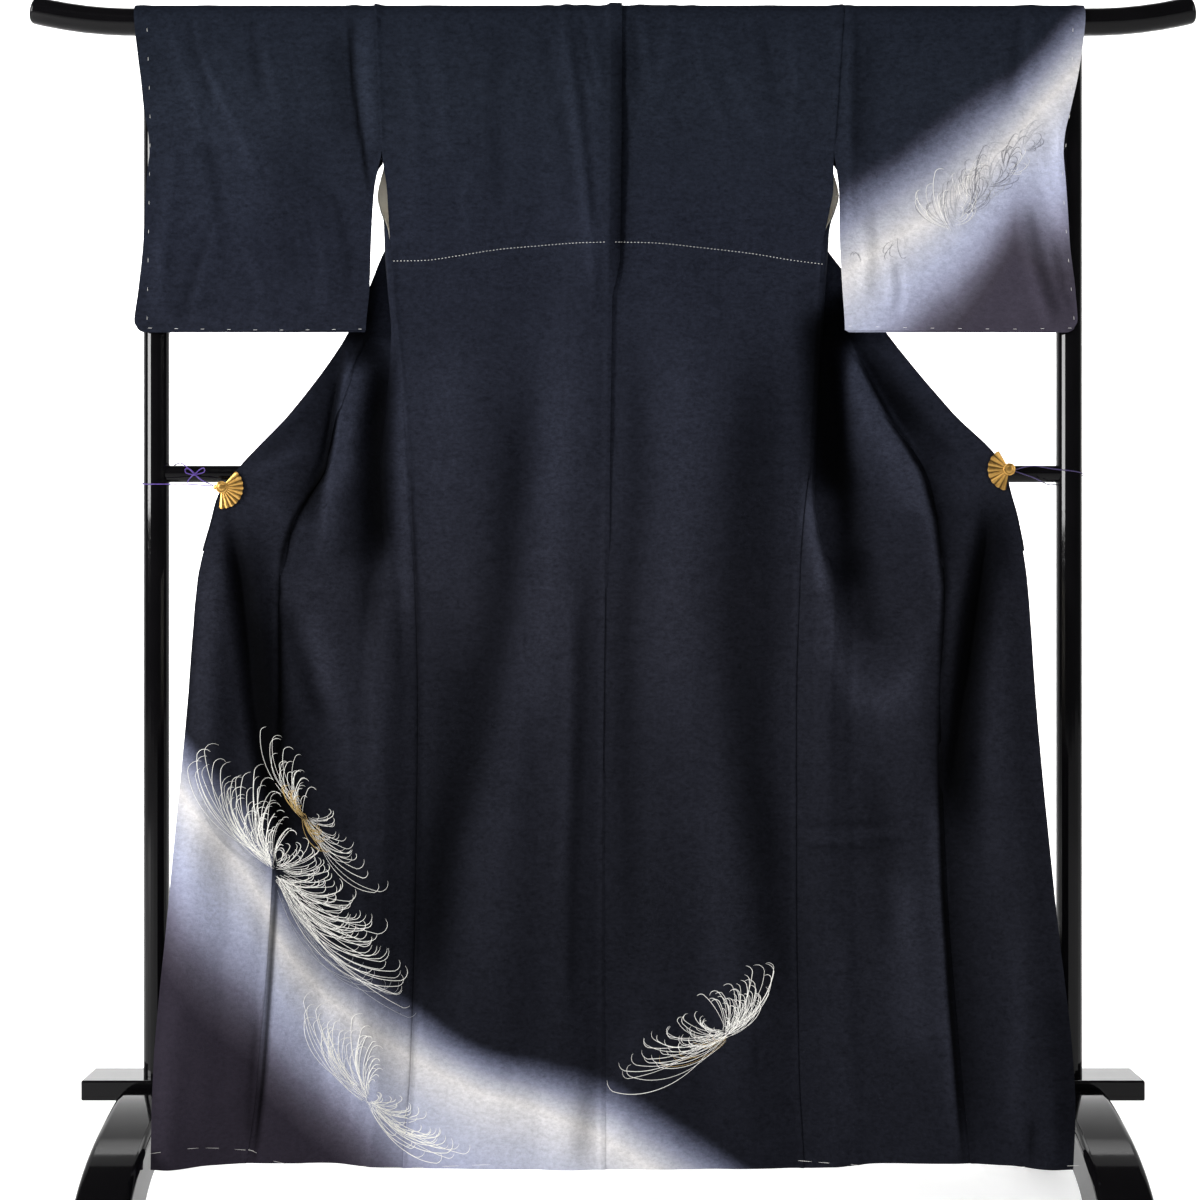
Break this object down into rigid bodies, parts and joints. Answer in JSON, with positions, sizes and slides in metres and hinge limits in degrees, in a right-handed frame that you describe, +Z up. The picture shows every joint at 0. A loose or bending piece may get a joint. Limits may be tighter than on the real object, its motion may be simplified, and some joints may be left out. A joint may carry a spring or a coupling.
{
  "type": "kimono on a kimono stand",
  "caption": "Lined kimono hung over the top rail of a black lacquered kimono stand, its fronts folded outwards and held open by fan clips tied to the posts.",
  "frame": {"origin": "on the floor, below the middle of the top rail", "axes": "+Z up, +X along the top rail to the right of a viewer who faces the kimono's back, +Y away from that viewer"},
  "size_m": [1.6286, 0.69, 1.691],
  "materials": {
    "kimono_cloth": "dark navy silk crepe with a pale misted band and flower sprays",
    "kimono_lining": "smooth off-white silk lining",
    "black_lacquer": "gloss black lacquer",
    "gilt_metal": "satin gilt metal",
    "violet_cord": "thin round violet cord"
  },
  "bodies": {
    "root": {"top_rail": "black_lacquer", "mid_rail": "black_lacquer", "post_left": "black_lacquer", "post_right": "black_lacquer", "base_plank": "black_lacquer", "foot_left": "black_lacquer", "foot_right": "black_lacquer", "back_left": "kimono_cloth", "back_right": "kimono_cloth", "front_left": "kimono_cloth", "front_right": "kimono_cloth", "okumi_left": "kimono_cloth", "okumi_right": "kimono_cloth", "collar_left": "kimono_cloth", "collar_right": "kimono_cloth", "sleeve_left": "kimono_cloth", "sleeve_right": "kimono_cloth", "lining_back_left": "kimono_lining", "lining_back_right": "kimono_lining", "lining_front_left": "kimono_lining", "lining_front_right": "kimono_lining", "lining_okumi_left": "kimono_lining", "lining_okumi_right": "kimono_lining", "clip_left_fan": "gilt_metal", "clip_left_hub": "gilt_metal", "clip_left_jaw": "gilt_metal", "clip_left_knob": "gilt_metal", "clip_right_fan": "gilt_metal", "clip_right_hub": "gilt_metal", "clip_right_jaw": "gilt_metal", "clip_right_knob": "gilt_metal", "cord_left": "violet_cord", "cord_right": "violet_cord"}
  },
  "joints": []
}
